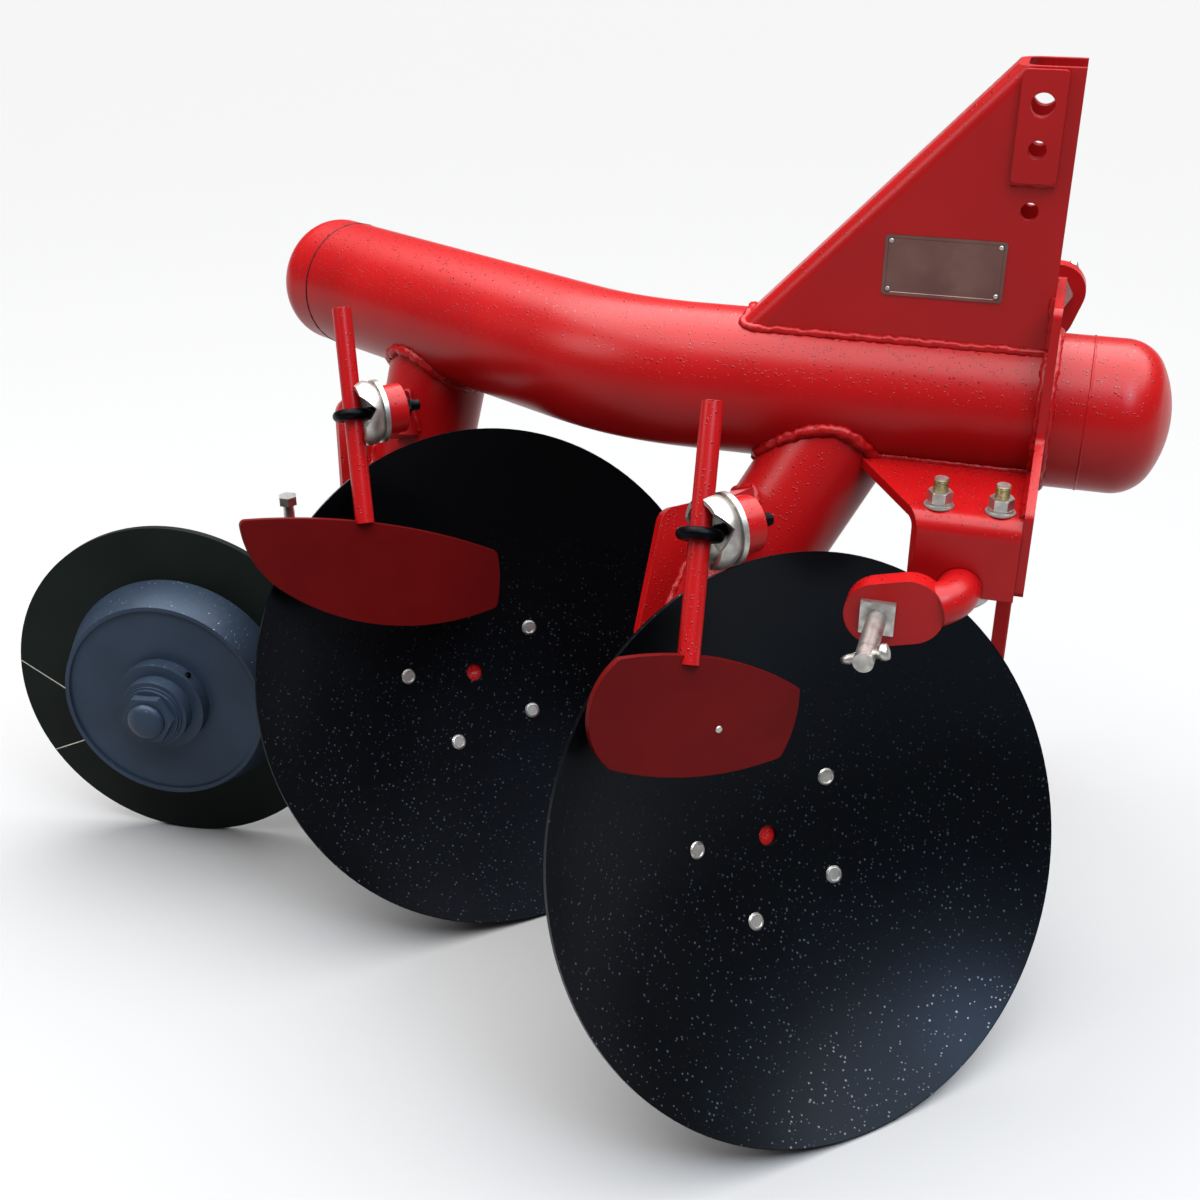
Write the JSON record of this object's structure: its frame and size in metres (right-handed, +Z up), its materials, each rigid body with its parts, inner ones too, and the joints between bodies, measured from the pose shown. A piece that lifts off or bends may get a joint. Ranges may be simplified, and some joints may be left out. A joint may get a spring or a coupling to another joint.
{
  "type": "disc plough",
  "caption": "Tractor-mounted disc plough: dished discs under a bent pipe beam, with scrapers, a furrow wheel, a folded headstock mast, cranked cross shaft and a sliding parking stand.",
  "frame": {"origin": "on the floor under the middle of the bounding box", "axes": "+X forward along travel, +Y to the left, +Z up"},
  "size_m": [1.4879, 1.1392, 1.088],
  "materials": {
    "red_paint": "glossy red paint",
    "black_paint": "satin black paint",
    "dark_paint": "dark satin paint",
    "grey_paint": "blue-grey paint",
    "zinc": "zinc plate",
    "black_steel": "blackened steel"
  },
  "bodies": {
    "frame": {"beam": "red_paint", "front_cap": "red_paint", "rear_cap": "red_paint", "mast": "red_paint", "doubler_right": "red_paint", "doubler_left": "red_paint", "hitch_plate": "red_paint", "bracket_right": "red_paint", "bracket_left": "red_paint", "u_bolt_right": "zinc", "u_bolt_left": "zinc", "cross_shaft": "red_paint", "pin_right": "zinc", "pin_left": "zinc", "standard_front": "red_paint", "carrier_front": "red_paint", "spindle_front": "red_paint", "lug_front": "red_paint", "eye_bolt_front": "black_steel", "cup_front": "zinc", "rod_front": "red_paint", "blade_front": "red_paint", "standard_rear": "red_paint", "carrier_rear": "red_paint", "spindle_rear": "red_paint", "lug_rear": "red_paint", "eye_bolt_rear": "black_steel", "cup_rear": "zinc", "rod_rear": "red_paint", "blade_rear": "red_paint", "wheel_arm": "red_paint", "wheel_post": "red_paint", "wheel_bolt": "zinc", "stand_guide": "red_paint"},
    "disc_front": {"disc_front": "black_paint", "hub_front": "red_paint"},
    "disc_rear": {"disc_rear": "black_paint", "hub_rear": "red_paint"},
    "furrow_wheel": {"wheel_flange": "dark_paint", "wheel_drum": "grey_paint", "wheel_hub": "grey_paint"},
    "stand": {"stand_leg": "red_paint", "stand_foot": "red_paint"}
  },
  "joints": [
    {"name": "disc_front_spin", "type": "hinge", "parent": "frame", "child": "disc_front", "pos_m": [0.43055, -0.31675, 0.30293], "axis": [0.6424, -0.6424, 0.4179], "continuous": true},
    {"name": "disc_rear_spin", "type": "hinge", "parent": "frame", "child": "disc_rear", "pos_m": [-0.03945, -0.05885, 0.30293], "axis": [0.6424, -0.6424, 0.4179], "continuous": true},
    {"name": "furrow_wheel_spin", "type": "hinge", "parent": "frame", "child": "furrow_wheel", "pos_m": [-0.51105, -0.10485, 0.23478], "axis": [0.1561, -0.9853, 0.0698], "continuous": true},
    {"name": "stand_slide", "type": "slide", "parent": "frame", "child": "stand", "axis": [0, 0, 1], "range_m": [0, 0.3]}
  ]
}
